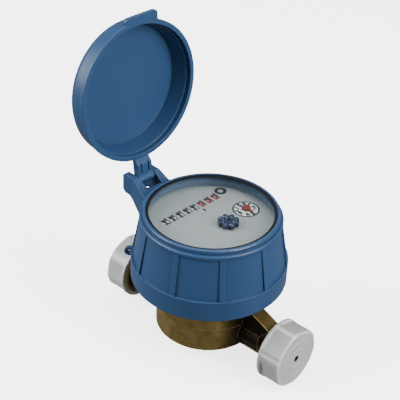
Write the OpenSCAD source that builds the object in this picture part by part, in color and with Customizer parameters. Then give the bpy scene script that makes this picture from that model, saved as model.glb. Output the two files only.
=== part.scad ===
// A single-jet water meter for a house connection: a brass pipe body with a low drum, a ribbed
// plastic head that turns on it and holds a sealed register, a hinged lid that stands open, and
// two plastic caps on the pipe threads. Millimetres. The head axis is Z, the water runs along X,
// and the flat underside of the drum is at z = 0.

/* [Brass body] */
// Length between the two thread ends
body_len = 110; // [106:1:120]
// Height of the pipe axis above the flat underside
axis_z = 7.7; // [7.7:0.1:9]
// Outside diameter of the pipe threads
thread_d = 26.44; // [26:0.02:26.8]
// Length of each pipe thread
thread_len = 11.5; // [10:0.5:13]
// Bore of the pipe ends
bore_d = 15; // [13:0.5:17]
// Length of the flare between an arm and its thread
flare_len = 6.5; // [5:0.5:8]
// Bore of the two jets that turn the impeller
jet_d = 7; // [6:0.2:7.6]
// Angle between the jets and the pipe axis
jet_angle = 28; // [20:1:32]
// Thickness of the pipe wall in the two arms
arm_wall = 2.1; // [1.6:0.1:2.6]
// Width of the gusset on top of each arm
gusset_w = 8; // [6:0.5:10]
// Width of the fin under each arm
fin_w = 8.4; // [7:0.2:10]
// Thickness of that fin
fin_t = 1.2; // [1:0.1:1.6]
// Depth of the fin's underside below the pipe axis
fin_drop = 6.2; // [6:0.1:6.8]
// Outside diameter of the lower drum
drum_d = 51.2; // [49:0.2:53]
// Thickness of the drum's wall
drum_wall = 5.1; // [4:0.1:6]
// Height of the step round the drum
step_z = 13.7; // [11:0.1:16]
// How far the upper drum stands proud of the lower one
step_out = 0.7; // [0.4:0.1:1.2]
// Thickness of the chamber floor
floor_t = 3.2; // [2.4:0.1:3.4]
// Height of the underside of the flange that carries the head
flange_z = 31.3; // [30.8:0.1:32]
// Thickness of that flange
flange_t = 5; // [4:0.2:5.6]

/* [Measuring parts] */
// Number of impeller vanes
vane_count = 8; // [6:1:10]
// Clearance between the vanes and the chamber wall
vane_gap = 1.6; // [1:0.2:3]
// Thickness of the pressure plate
plate_t = 3.6; // [3:0.2:4]
// Depth of the locking ring's thread in the body
lock_depth = 1.9; // [1.4:0.1:2.4]
// Diameter of the drive magnet
magnet_d = 12; // [10:0.5:13]

/* [Head] */
// Angle at which the head is set on the body
head_angle = -4.3; // [-30:0.1:30]
// Diameter of the register inside the hood
register_d = 63.8; // [60:0.2:68]
// Thickness of the smooth band round the body's flange
band_wall = 2.5; // [2:0.1:3]
// Thickness of the hood's lip under that flange
hood_lip_t = 1; // [0.8:0.1:1.4]
// Height of the band
band_h = 10.6; // [9:0.1:13]
// Depth of the panels behind the band
panel_depth = 1.2; // [0.8:0.1:1.5]
// Thickness of the hood's wall at the upper end of the panels
panel_wall = 1.7; // [1.4:0.1:2.2]
// Number of ribs round the hood
rib_count = 10; // [6:2:14]
// Width of a rib
rib_w = 2.3; // [1.6:0.1:3]
// Height of the shoulder that the closed lid meets, above the body's flange
shoulder_up = 27.7; // [26:0.1:30]
// How far the collar under the shoulder stands out of the panels
collar_out = 0.6; // [0.4:0.1:1]
// Height of the upright rim above the shoulder
rim_h = 2.4; // [2:0.1:3]
// Thickness of the upright rim round the lens
rim_wall = 0.9; // [0.7:0.05:1]
// How far the rim's lip reaches over the lens
lip_in = 0.3; // [0.2:0.05:0.6]
// Thickness of that lip
lip_t = 0.4; // [0.3:0.1:0.8]
// Height of the seal lug's hole above the band's lower edge
lug_up = 6.3; // [4:0.1:7]
// Reach of the seal lug beyond the band
lug_reach = 4; // [3.6:0.1:5]

/* [Lid] */
// Angle at which the lid stands open
lid_angle = 94.5; // [0:0.5:105]
// Distance of the hinge axis outside the shoulder
hinge_out = 11.7; // [11:0.1:13]
// Depth of the hinge axis below the shoulder
hinge_drop = 1; // [0.6:0.1:1.4]
// Place of the hinge's middle across the head
hinge_y = -1.3; // [-2:0.1:2]
// Diameter of the hinge pin
pin_d = 2.2; // [1.8:0.1:2.6]
// Diameter of the hinge barrel on the lid
barrel_d = 5; // [4.6:0.1:5.4]
// Width of the slot between the two hinge ears
slot_w = 9.6; // [8:0.2:11]
// Thickness of a hinge ear
ear_t = 3.4; // [2.8:0.1:4.4]
// Width of the hinge bracket where it runs into the hood
bracket_w = 23; // [20:0.5:30]
// How far the lid's rim overhangs the shoulder
lid_over = 1.2; // [0.8:0.1:1.6]
// How far that rim stands out of the lid's wall
lid_rim_out = 1.1; // [0.6:0.1:1.2]
// Thickness of the lid's top
lid_top = 1.6; // [1.2:0.1:2.4]
// Height of the lid
lid_h = 12.4; // [11:0.2:14]
// Radius of the lid's outer corner
lid_fillet = 5; // [3:0.5:6]
// Width of the ledge inside the lid, above the hood's rim
lid_ledge = 0.7; // [0.4:0.1:1]
// How far the inside of the lid's wall slants in
lid_draft = 2.2; // [2:0.1:3.6]
// Width of the lifting tab
tab_w = 19.8; // [14:0.2:26]
// Place of the tab's middle across the lid
tab_y = 3.3; // [-4:0.1:4]
// Reach of the lifting tab beyond the rim
tab_reach = 2.6; // [2.2:0.1:5]

/* [Register] */
// Depth of the dial's face below the shoulder
dial_drop = 4.4; // [4:0.1:5]
// Thickness of the dial plate
dial_t = 1; // [0.8:0.1:1.4]
// Diameter of a number roller
roller_d = 9.6; // [8.6:0.2:10.4]
// Distance from one roller to the next
roller_pitch = 4.7; // [4.4:0.1:5]
// Distance of the roller axis behind the head axis
roller_x = 14.4; // [13.6:0.1:15]
// Place of the middle of the row of rollers across the dial
bank_y = 0.25; // [-1:0.05:1]
// Place of the star wheel on the dial, along X
star_x = 7.2; // [6.6:0.1:7.8]
// Distance of the star wheel from the dial's edge, along Y
star_edge = 27.5; // [26.8:0.1:28.2]
// Diameter of the star wheel
star_d = 10.4; // [9:0.2:11]
// Number of lobes on the star wheel
star_lobes = 8; // [6:1:10]
// Place of the small dial, along X
small_x = 3.7; // [3.2:0.1:4.2]
// Distance of the small dial from the dial's edge, along Y
small_edge = 11.7; // [11:0.1:12.4]
// Radius swept by the small dial's pointer
pointer_r = 4.6; // [3.6:0.1:5.4]

/* [End caps] */
// Length of thread that shows behind a cap
cap_short = 1; // [0.6:0.1:2]
// Thickness of a cap's end wall
cap_end_t = 1.5; // [1.1:0.1:2]
// Thickness of a cap's wall at the middle of a flat
cap_wall = 0.7; // [0.5:0.05:0.9]
// How far the thin flange round a cap's mouth stands out
cap_flange_out = 0.3; // [0.2:0.05:0.8]
// Thickness of that flange
cap_flange_t = 1.3; // [1:0.1:1.8]
// Diameter of the vent hole in a cap
vent_d = 2.4; // [1.6:0.1:3]

/* [Hidden] */
$fn = 96;

// Clearances
turn_gap = 0.3;      // between the head and the body it turns on
run_gap = 0.05;      // radial, round a pin or arbor
seat_gap = 0.1;      // between parts that stand still together
cap_gap = 0.15;      // radial, between a thread and its cap
lid_gap = 0.3;       // under the closed lid's rim
cut = 1;             // how far a cutting tool runs past a face

// Flange that carries the head
register_r = register_d / 2;
flange_over = 3.7;               // how far the flange stands out round the register
flange_r = register_r + flange_over;
flange_top = flange_z + flange_t;
lip_hold = 1.6;                  // how far the hood's lip reaches under the flange
lip_r = flange_r - lip_hold;

// Brass body
drum_r = drum_d / 2;
upper_r = drum_r + step_out;
chamber_r = drum_r - drum_wall;
neck_gap = 1.5;                  // between the hood's lip and the body's neck
neck_r = lip_r - neck_gap;
neck_wall = 2.4;                 // of the neck, round the locking ring
lock_r = neck_r - neck_wall;
plate_r = lock_r - lock_depth - seat_gap;
ledge_drop = 4.3;                // ledge that carries the pressure plate, below the flange
ledge_z = flange_z - ledge_drop;
lock_z = ledge_z + plate_t;
neck_drop = 0.5;                 // top of the neck's cone, below the ledge
neck_z = ledge_z - neck_drop;
neck_slope = 4.5;                // height of the cone between drum and neck
base_chamfer = 1;
gusset_root = 3;                 // how deep gusset and fin run into the drum
gusset_drop = 1.8;
gusset_flat = 1.5;
gusset_end = 9.5;                // height of the gusset's outer end above the pipe axis
arm_lap = 0.5;                   // how far gusset and fin run into the thread
jet_step = 0.2;                  // radial, where a jet narrows from its arm's bore
jet_back = 1.8;                  // how far a jet starts before the drum
jet_lap = 8;                     // how far it runs into the chamber
arm_bore_r = jet_d / 2 + jet_step;
arm_r = arm_bore_r + arm_wall;
thread_r = thread_d / 2;
end_x = body_len / 2;
thread_x = end_x - thread_len;
flare_x = thread_x - flare_len;
thread_chamfer = 1;
pivot_r = 1;
pivot_boss_r = 3.2;
pivot_boss_h = 1.2;
pivot_boss_z = floor_t + pivot_boss_h;
pivot_depth = 1.5;               // how deep the pin sits in the floor
pivot_foot = floor_t - pivot_depth;
pivot_reach = 2;                 // how far it stands out of its boss
pivot_top = pivot_boss_z + pivot_reach;
pivot_point = 0.6;               // height of its conical tip
pivot_tip_r = 0.3;
strainer_len = 6;
strainer_wall = 1;
mesh_t = 0.8;
mesh_rings = 2;
strainer_in = 0.5;               // how far the strainer stands back from the inlet's mouth

// Pressure plate and magnets
dome_wall = 1;
dome_gap = 0.7;
dome_in_r = magnet_d / 2 + dome_gap;
dome_r = dome_in_r + dome_wall;
dome_drop = 1;                   // top of the dome, below the flange
dome_top = flange_top - dome_drop;
dome_in = dome_top - dome_wall;
bearing_r = 2;                   // the bearing under the dome for the impeller's upper tip
bearing_h = 0.8;
magnet_h = 4;
magnet_gap = 0.2;
magnet_top = dome_in - bearing_h - magnet_gap;
magnet_z = magnet_top - magnet_h;
tip_r = 0.7;
seal_r = (chamber_r + plate_r) / 2;
seal_d = 1.44;
seal_groove = 1.6;
hub_r = 4;
axle_r = 1.5;
vane_lift = 0.4;                 // between the pivot's boss and the impeller
vane_z = pivot_boss_z + vane_lift;
vane_over = 3;                   // how far the vanes stand above the jets
vane_top = axis_z + jet_d / 2 + vane_over;
vane_r = chamber_r - vane_gap;
vane_t = 1.2;
magnet_seat_t = 1.2;
magnet_seat_in = 1;
ring_drop = 0.8;                 // top of the locking ring, below the flange
ring_slots = 4;
ring_slot = 4;
ring_slot_depth = 2;

// Hood
band_r = flange_r + turn_gap + band_wall;
band_z = flange_z - turn_gap - hood_lip_t;
band_top = band_z + band_h;
panel_foot_r = band_r - panel_depth;
hood_bore_r = register_r + turn_gap;
panel_top_r = hood_bore_r + panel_wall;
shoulder_r = panel_top_r + collar_out;
shoulder_z = flange_top + shoulder_up;
collar_h = 2;
panel_top = shoulder_z - collar_h;
collar_round = 0.6;
rim_r = register_r - lip_in;
rim_out_r = hood_bore_r + rim_wall;
rim_round = (rim_out_r - rim_r) / 2;
rim_top = shoulder_z + rim_h;
hood_foot_r = flange_r + turn_gap;
hood_lip_top = flange_z - turn_gap;
hood_ledge = flange_top + turn_gap;
bore_step = 1;                   // how far the hood's inside steps in above the flange
bore_foot_r = flange_r - bore_step;
bore_run = 2;                    // straight part of the hood's bore, below the dial
rib_foot_out = 0.9;              // how far a rib stands out of the panel at its foot
rib_top_out = 0.4;
rib_root = 1;                    // how deep a rib runs into the wall
rib_lap = 0.5;                   // how far it runs into the collar
lug_z = band_z + lug_up;
lug_hole_d = 2;
lug_w = 4.6;
lug_t = 2;
lug_angle = 216;

// Hinge
hinge_x = shoulder_r + hinge_out;
hinge_z = shoulder_z - hinge_drop;
ear_out = slot_w / 2 + ear_t;
ear_top = hinge_z + barrel_d / 2;
ear_over = 7;                    // from the hinge axis to the back of the ears
ear_back = hinge_x + ear_over;
ear_depth = 6.5;                 // from the hinge axis down to the lower edge of their back
ear_foot = hinge_z - ear_depth;
ear_heel = 1.6;                  // height of the slope under the ears
ear_toe = 2;
ear_chamfer = 0.8;
ear_crest = 1.2;                 // from the hinge axis to where the ears slope down to the hood
ear_front = hinge_x - ear_crest;
slope_low = 1.4;
slope_z = hinge_z - slope_low;
slope_drop = 0.8;
bracket_deep = 6;                // how deep the bracket runs into the hood
bracket_root = panel_top_r - bracket_deep;
bracket_up = 4;                  // its lower end above the band
bracket_low = band_top + bracket_up;
knee_in = 9.5;
bracket_knee = hinge_x - knee_in;
slot_out = 4.5;                  // inner end of the slot, outside the shoulder
slot_end = shoulder_r + slot_out;
pin_in = 0.3;                    // how far the pin's ends lie inside its hole
pin_skin = 1;                    // wall that closes the hole in one ear
barrel_bore = pin_d + 2 * run_gap;

// Lid
lid_z = shoulder_z + lid_gap;
lid_rim_r = shoulder_r + lid_over;
lid_r = lid_rim_r - lid_rim_out;
lid_rim_h = 1.6;
lid_bore_r = rim_out_r + lid_gap;
arm_w = slot_w - 2 * turn_gap;
arm_lift = 0.7;                  // of the closed arm above the bracket's slope
arm_low = slope_z + arm_lift;
arm_t = 4;
arm_high = arm_low + arm_t;
arm_groove_w = 0.8;
arm_groove_depth = 0.6;
tab_t = 2;
tab_round = 2;

// Register case
capsule_wall = 1;
capsule_lift = 0.7;              // between the body's flange and the register
capsule_z = flange_top + capsule_lift;
capsule_floor = 1.2;
capsule_in = capsule_z + capsule_floor;
capsule_in_r = register_r - capsule_wall;
arbor_socket = 0.7;              // depth of the blind bearing in the capsule's floor
dial_z = shoulder_z - dial_drop;
dial_back = dial_z - dial_t;
lens_wall = 1.1;
lens_t = 2;
gasket_t = 0.5;
gasket_w = 1.8;
lens_top = rim_top - lip_t - gasket_t - seat_gap;
lens_bevel = 0.5;

// Number rollers and carry pinions
tip_high = 0.8;                  // tooth tip and root from the pitch circle, per module
root_low = 1.2;
roller_count = 8;
roller_r = roller_d / 2;
roller_y = bank_y - roller_pitch * (roller_count - 1) / 2;
roller_drop = 0.6;               // how far the rollers lie below the dial's face
roller_gap = 0.3;                // between the rollers and the hollow under the dial
roller_z = dial_z - roller_drop - roller_r;
roller_shaft_r = 1;
roller_wall = 0.8;
roller_space = 0.5;              // from one roller's crown wheel to the next roller
crown_w = 0.8;                   // width of the crown wheel beside a roller's drum
crown_teeth = 20;
crown_share = 0.62;              // its radius, of the roller's
crown_r = crown_share * roller_r;
crown_size = crown_r / (crown_teeth / 2 + tip_high);
drum_w = roller_pitch - crown_w - roller_space;
recess = 0.9;
window_h = 5.4;
window_side = 0.05;              // from a roller's drum to the edge of its window
window_w = drum_w + 2 * window_side;
pinion_r = 2;
pinion_teeth = 8;
pinion_w = 2;
pinion_size = pinion_r / (pinion_teeth / 2 + tip_high);
carry_in = 1.2;                  // place of the carry shaft from the rollers' lower front edge
carry_up = 0.9;
carry_x = roller_x - roller_r - carry_in;
carry_z = roller_z - roller_r + carry_up;
carry_shaft_r = 0.6;

// Frame, arbors and wheels
bank_half = roller_pitch * roller_count / 2;
cheek_t = 1.2;
cheek_gap = 1.1;                 // between the outer rollers and a cheek's middle
cheek_y = bank_half + cheek_gap;
cheek_back = 2.2;
cheek_front = 1.6;
cheek_over = 2.4;
shaft_reach = cheek_y + cheek_t / 2;
frame_t = 1.2;
frame_gap = 1.1;                 // under the carry pinions
frame_top = carry_z - pinion_r - frame_gap;
frame_z = frame_top - frame_t;
post_r = 1.6;
post_in = 5.5;
post_ring = register_r - post_in;
post_angles = [20, 180, 300];
lap = 0.2;                       // how deep a post or cheek runs into the plate
arbor_r = 0.8;
arbor_end = 1;                   // how far an arbor reaches through the frame's plate
follower_lift = 0.8;             // of the upper magnet above the capsule's floor
follower_z = capsule_in + follower_lift;
follower_h = 3;
gear_lift = 0.8;
gear_t = 1.2;
gear_z = frame_top + gear_lift;
upper_gear_z = gear_z + 2 * gear_t;
follower_end = 0.6;              // how far the follower's arbor stands out of its wheel
follower_top = gear_z + gear_t + follower_end;
star_y = register_r - star_edge;
small_y = register_r - small_edge;
star_dist = norm([star_x, star_y]);
small_dist = norm([small_x - star_x, small_y - star_y]);
drive_teeth = 12;
star_teeth = 24;
star_pinion_teeth = 24;
small_teeth = 20;
drive_module = 2 * star_dist / (drive_teeth + star_teeth);
small_module = 2 * small_dist / (star_pinion_teeth + small_teeth);
star_lift = 0.7;
star_z = dial_z + star_lift;
star_t = 2;
star_notch = star_d / 9;
star_cup = 0.8;
pointer_lift = 0.5;
pointer_z = dial_z + pointer_lift;
pointer_t = 0.8;
pointer_hub = pointer_r / 2;
pointer_notches = 10;
pointer_root = 0.8;
pointer_tip = 0.15;

// Caps
cap_bore_r = thread_r + cap_gap;
cap_flat = cap_bore_r + cap_wall;
cap_corner = 0.9;                // how far the rounded corners stand out of the flats
cap_round_r = cap_flat + cap_corner;
cap_flange_r = cap_round_r + cap_flange_out;
cap_edge = 1;
cap_x = thread_x + cap_short;
cap_len = end_x + seat_gap + cap_end_t - cap_x;
hex_turn = 10;

// Turns a part of the head to the angle at which the head is set
module on_head() {
    rotate([0, 0, head_angle]) children();
}

// Swings a part drawn on the closed lid about the hinge axis to where the lid stands open
module on_lid() {
    on_head() translate([-hinge_x, 0, hinge_z]) rotate([0, -lid_angle, 0])
        translate([hinge_x, 0, -hinge_z]) children();
}

// A bar along X at the height of the pipe axis
module along_pipe(x, r1, r2, length) {
    translate([x, 0, axis_z]) rotate([0, 90, 0]) cylinder(r1 = r1, r2 = r2, h = length);
}

// A pin or arbor along Y
module across(x, z, r, y0, y1) {
    translate([x, y0, z]) rotate([-90, 0, 0]) cylinder(r = r, h = y1 - y0);
}

// A side view drawn in X and Z, with its thickness centred on y = 0
module side_plate(points, width) {
    translate([0, width / 2, 0]) rotate([90, 0, 0]) linear_extrude(width) polygon(points);
}

// Outline of a toothed wheel, four points to a tooth
function tooth(teeth, size) = [
    for (i = [0:teeth - 1])
    for (p = [[-0.29, -root_low], [-0.12, tip_high], [0.12, tip_high], [0.29, -root_low]])
    let (r = size * (teeth / 2 + p[1]), a = 360 * (i + p[0]) / teeth)
    [r * cos(a), r * sin(a)]];

// A toothed wheel that stands on z, with a tooth pointing along angle
module gear(teeth, size, z, angle) {
    translate([0, 0, z]) rotate([0, 0, angle]) linear_extrude(gear_t) polygon(tooth(teeth, size));
}

// One arm of the body, towards +X: round pipe, flare, thread, gusset above and fin below
module arm() {
    root = drum_r - gusset_root;
    along_pipe(0, arm_r, arm_r, flare_x + cut);
    along_pipe(flare_x, arm_r, thread_r - thread_chamfer, flare_len);
    along_pipe(thread_x, thread_r, thread_r, thread_len - thread_chamfer);
    along_pipe(end_x - thread_chamfer, thread_r, thread_r - thread_chamfer, thread_chamfer);
    side_plate([[root, axis_z], [root, neck_z], [drum_r + gusset_flat, neck_z - gusset_drop],
        [thread_x + arm_lap, axis_z + gusset_end], [thread_x + arm_lap, axis_z]], gusset_w);
    translate([root, -fin_w / 2, axis_z - fin_drop])
        cube([thread_x + arm_lap - root, fin_w, fin_t]);
}

// The water way through one arm: pipe bore, funnel, arm and the slanted jet in the drum's wall
module water_way() {
    along_pipe(thread_x, bore_d / 2, bore_d / 2, thread_len + cut);
    along_pipe(flare_x - cut, arm_bore_r, bore_d / 2, flare_len + cut);
    along_pipe(drum_r, arm_bore_r, arm_bore_r, flare_x - drum_r);
    translate([drum_r + jet_back, 0, axis_z]) rotate([0, 0, jet_angle]) rotate([0, -90, 0])
        cylinder(d = jet_d, h = jet_back + drum_wall + jet_lap);
}

// The cast body: drum, neck and flange turned about Z, with the two arms
module body_casting() {
    color("darkgoldenrod")
    difference() {
        union() {
            rotate_extrude()
                polygon([[0, 0], [drum_r - base_chamfer, 0], [drum_r, base_chamfer],
                    [drum_r, step_z], [upper_r, step_z], [upper_r, neck_z - neck_slope],
                    [neck_r, neck_z], [neck_r, flange_z], [flange_r, flange_z],
                    [flange_r, flange_top], [0, flange_top]]);
            for (side = [0, 180])
                rotate([0, 0, side]) arm();
        }
        rotate_extrude()
            polygon([[0, pivot_boss_z], [pivot_boss_r, pivot_boss_z],
                [pivot_boss_r, floor_t], [chamber_r, floor_t], [chamber_r, ledge_z],
                [plate_r + seat_gap, ledge_z], [plate_r + seat_gap, lock_z], [lock_r, lock_z],
                [lock_r, flange_top + cut], [0, flange_top + cut]]);
        for (side = [0, 180])
            rotate([0, 0, side]) water_way();
        translate([0, 0, pivot_foot]) cylinder(r = pivot_r, h = pivot_boss_z - pivot_foot + cut);
    }
}

// A plastic strainer cup pushed into the inlet bore
module inlet_strainer() {
    strainer_r = bore_d / 2 - seat_gap;
    mesh_r = strainer_r - strainer_wall;
    mesh_pitch = mesh_r / (mesh_rings + 0.9);
    color("ivory")
    translate([-end_x + strainer_in, 0, axis_z]) rotate([0, 90, 0])
    difference() {
        cylinder(r = strainer_r, h = strainer_len);
        translate([0, 0, -cut]) cylinder(r = mesh_r, h = strainer_len - mesh_t + cut);
        for (ring = [0:mesh_rings])
            for (i = [0:max(1, 6 * ring) - 1])
                rotate([0, 0, 360 * i / max(1, 6 * ring)]) translate([ring * mesh_pitch, 0, 0])
                    cylinder(r = mesh_pitch / 3, h = strainer_len + cut);
    }
}

// The steel pin in the chamber floor on which the impeller runs
module lower_pivot() {
    color("silver")
    rotate_extrude()
        polygon([[0, pivot_foot], [pivot_r, pivot_foot], [pivot_r, pivot_top - pivot_point],
            [pivot_tip_r, pivot_top], [0, pivot_top]]);
}

// The plate that closes the chamber, with the thin dome between the two magnets and, under the
// dome, the bearing for the impeller's upper tip
module pressure_plate() {
    color("dimgray")
    rotate_extrude()
        difference() {
            polygon([[dome_in_r, ledge_z], [plate_r, ledge_z], [plate_r, lock_z],
                [dome_r, lock_z], [dome_r, dome_top], [0, dome_top], [0, dome_in],
                [tip_r + run_gap, dome_in], [tip_r + run_gap, dome_in - bearing_h],
                [bearing_r, dome_in - bearing_h], [bearing_r, dome_in], [dome_in_r, dome_in]]);
            translate([seal_r - seal_groove / 2, ledge_z - cut])
                square([seal_groove, seal_groove + cut]);
        }
}

// The rubber ring in the groove under the pressure plate
module plate_seal() {
    color("black")
    translate([0, 0, ledge_z + seal_groove / 2]) rotate_extrude()
        translate([seal_r, 0]) circle(d = seal_d, $fn = 24);
}

// The ring that screws into the body and holds the pressure plate down
module locking_ring() {
    ring_top = flange_top - ring_drop;
    color("goldenrod")
    difference() {
        rotate_extrude()
            polygon([[seal_r, lock_z], [lock_r - seat_gap, lock_z], [lock_r - seat_gap, ring_top],
                [seal_r, ring_top]]);
        for (i = [0:ring_slots - 1])
            rotate([0, 0, 360 * i / ring_slots])
                translate([seal_r - cut, -ring_slot / 2, ring_top - ring_slot_depth])
                cube([ring_slot, ring_slot, ring_slot_depth + cut]);
    }
}

// The impeller: hub, axle with a thin upper tip, and straight vanes in the plane of the jets
module impeller() {
    bore_r = pivot_r + run_gap;
    bore_top = pivot_top + magnet_gap;
    seat_r = magnet_d / 2 - magnet_seat_in;
    seat_z = magnet_z - magnet_seat_t;
    tip_top = dome_in - magnet_gap;
    color("white") {
        rotate_extrude()
            polygon([[bore_r, vane_z], [hub_r, vane_z], [hub_r, vane_top], [axle_r, vane_top],
                [axle_r, seat_z], [seat_r, seat_z], [seat_r, magnet_z], [axle_r, magnet_z],
                [axle_r, magnet_top], [tip_r, magnet_top], [tip_r, tip_top], [0, tip_top],
                [0, bore_top], [bore_r, bore_top]]);
        for (i = [0:vane_count - 1])
            rotate([0, 0, 360 * i / vane_count]) translate([hub_r - vane_t, -vane_t / 2, vane_z])
                cube([vane_r - hub_r + vane_t, vane_t, vane_top - vane_z]);
    }
}

// The ring magnet on the impeller's axle, under the dome
module drive_magnet() {
    color("darkslategray")
    translate([0, 0, magnet_z]) difference() {
        cylinder(d = magnet_d, h = magnet_h);
        translate([0, 0, -cut]) cylinder(r = axle_r, h = magnet_h + 2 * cut);
    }
}

// Half section of a cap beyond its flange, with a rounded outer edge
module cap_round() {
    square([cap_round_r, cap_len - cap_edge]);
    square([cap_round_r - cap_edge, cap_len]);
    translate([cap_round_r - cap_edge, cap_len - cap_edge]) circle(cap_edge, $fn = 24);
}

// A screw cap drawn on +Z with its open mouth at z = 0: thin flange and six flats
module end_cap() {
    color("gainsboro")
    difference() {
        union() {
            intersection() {
                rotate_extrude() cap_round();
                rotate([0, 0, hex_turn]) cylinder(r = cap_flat / cos(30), h = cap_len, $fn = 6);
            }
            cylinder(r = cap_flange_r, h = cap_flange_t);
        }
        translate([0, 0, -cut]) cylinder(r = cap_bore_r, h = cap_len - cap_end_t + cut);
        cylinder(d = vent_d, h = cap_len + cut);
    }
}

module outlet_cap() {
    translate([cap_x, 0, axis_z]) rotate([0, 90, 0]) end_cap();
}

module inlet_cap() {
    rotate([0, 0, 180]) outlet_cap();
}

// Half section of the hood, filled to the axis
module hood_outside() {
    polygon([[0, band_z], [band_r, band_z], [band_r, band_top], [panel_foot_r, band_top],
        [panel_top_r, panel_top], [shoulder_r, panel_top], [shoulder_r, shoulder_z - collar_round],
        [shoulder_r - collar_round, shoulder_z], [rim_out_r, shoulder_z],
        [rim_out_r, rim_top - rim_round], [0, rim_top - rim_round]]);
    translate([rim_out_r - rim_round, rim_top - rim_round]) circle(rim_round, $fn = 32);
    translate([0, shoulder_z]) square([rim_out_r - rim_round, rim_h]);
}

// Half section of the hollow inside the hood, with the undercut that grips the body's flange
module hood_inside() {
    polygon([[0, band_z - cut], [lip_r, band_z - cut], [lip_r, hood_lip_top],
        [hood_foot_r, hood_lip_top], [hood_foot_r, hood_ledge], [bore_foot_r, hood_ledge],
        [hood_bore_r, dial_back - bore_run], [hood_bore_r, rim_top - lip_t],
        [rim_r, rim_top - lip_t], [rim_r, rim_top + cut], [0, rim_top + cut]]);
}

// One rib, a wedge that stands out most at its foot
module hood_rib() {
    side_plate([[panel_foot_r - rib_root, band_top - rib_lap],
        [panel_foot_r + rib_foot_out, band_top - rib_lap], [panel_foot_r + rib_foot_out, band_top],
        [panel_top_r + rib_top_out, panel_top + rib_lap],
        [panel_top_r - rib_root, panel_top + rib_lap]], rib_w);
}

// The hinge bracket: two ears that widen into the hood, with the slot for the lid's arm and the
// pin's hole, which ends blind in one ear
module hinge_bracket() {
    translate([0, hinge_y, 0])
    difference() {
        intersection() {
            side_plate([[-ear_back, ear_foot], [-ear_back, ear_top - ear_chamfer],
                [-ear_back + ear_chamfer, ear_top], [-ear_front, ear_top], [-slot_end, slope_z],
                [-bracket_root, slope_z - slope_drop], [-bracket_root, bracket_low],
                [-bracket_knee, bracket_low + cut], [-hinge_x - ear_toe, ear_foot - ear_heel],
                [-ear_back + ear_toe, ear_foot - ear_heel]], bracket_w + cut);
            translate([0, 0, bracket_low - cut]) linear_extrude(ear_top - bracket_low + 2 * cut)
                polygon([[-ear_back, -ear_out], [-hinge_x, -ear_out], [-bracket_root, -bracket_w / 2],
                    [-bracket_root, bracket_w / 2], [-hinge_x, ear_out], [-ear_back, ear_out]]);
        }
        translate([-ear_back - cut, -slot_w / 2, bracket_low])
            cube([ear_back + cut - slot_end, slot_w, ear_top - bracket_low + cut]);
        across(-hinge_x, hinge_z, pin_d / 2, -ear_out + pin_skin, ear_out + cut);
    }
}

// The small drilled lug for a seal wire
module seal_lug() {
    hole_r = band_r + lug_reach - lug_w / 2;
    rotate([0, 0, lug_angle])
    difference() {
        union() {
            across(hole_r, lug_z, lug_w / 2, -lug_t / 2, lug_t / 2);
            translate([band_r - rib_root, -lug_t / 2, lug_z - lug_w / 2])
                cube([hole_r - band_r + rib_root, lug_t, lug_w]);
        }
        across(hole_r, lug_z, lug_hole_d / 2, -lug_t, lug_t);
    }
}

// The ribbed hood that turns on the body's flange and holds the register
module hood() {
    color("steelblue")
    on_head()
    difference() {
        union() {
            rotate_extrude() hood_outside();
            for (i = [0:rib_count - 1])
                rotate([0, 0, 360 * i / rib_count]) hood_rib();
            hinge_bracket();
            seal_lug();
        }
        rotate_extrude() hood_inside();
    }
}

// The cup that seals the register from below, with a blind bearing for the follower's arbor
module capsule() {
    socket_r = arbor_r + run_gap;
    color("slategray")
    on_head()
    rotate_extrude()
        polygon([[0, capsule_z], [register_r, capsule_z], [register_r, dial_back],
            [capsule_in_r, dial_back], [capsule_in_r, capsule_in], [socket_r, capsule_in],
            [socket_r, capsule_in - arbor_socket], [0, capsule_in - arbor_socket]]);
}

// A cheek of the frame, with the bearings of the two roller shafts
module cheek(y) {
    difference() {
        translate([-roller_x - cheek_back, y - cheek_t / 2, frame_top - lap])
            cube([roller_x - carry_x + cheek_back + cheek_front, cheek_t,
                roller_z + cheek_over - frame_top + lap]);
        across(-roller_x, roller_z, roller_shaft_r, y - cheek_t, y + cheek_t);
        across(-carry_x, carry_z, carry_shaft_r, y - cheek_t, y + cheek_t);
    }
}

// The moulded frame inside the capsule: a plate for the arbors, three posts under the dial and
// two cheeks for the roller shafts
module gear_frame() {
    color("khaki")
    on_head() {
        difference() {
            translate([0, 0, frame_z]) cylinder(r = capsule_in_r - seat_gap, h = frame_t);
            for (place = [[0, 0], [star_x, star_y], [small_x, small_y]])
                translate([place[0], place[1], frame_z - cut])
                    cylinder(r = arbor_r + run_gap, h = frame_t + 2 * cut);
        }
        for (angle = post_angles)
            rotate([0, 0, angle]) translate([post_ring, 0, frame_top - lap])
                cylinder(r = post_r, h = dial_back - frame_top + lap);
        for (side = [-1, 1])
            cheek(bank_y + side * cheek_y);
    }
}

// The upright arbor under the middle of the dial that the magnet drives
module follower_arbor() {
    foot_z = capsule_in - arbor_socket + seat_gap;
    color("goldenrod")
    on_head() {
        translate([0, 0, foot_z]) cylinder(r = arbor_r, h = follower_top - foot_z);
        gear(drive_teeth, drive_module, gear_z, atan2(star_y, star_x));
    }
}

// The ring magnet on that arbor, which follows the impeller's magnet through the dome
module follower_magnet() {
    color("darkslategray")
    on_head()
    translate([0, 0, follower_z])
    difference() {
        cylinder(d = magnet_d, h = follower_h);
        translate([0, 0, -cut]) cylinder(r = arbor_r, h = follower_h + 2 * cut);
    }
}

// The star wheel's arbor: a wheel driven by the follower, and a pinion for the small dial
module star_arbor() {
    color("goldenrod")
    on_head() translate([star_x, star_y, 0]) {
        translate([0, 0, frame_z - arbor_end])
            cylinder(r = arbor_r, h = star_z - frame_z + arbor_end);
        gear(star_teeth, drive_module, gear_z,
            atan2(-star_y, -star_x) + 180 / star_teeth);
        gear(star_pinion_teeth, small_module, upper_gear_z,
            atan2(small_y - star_y, small_x - star_x));
    }
}

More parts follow.
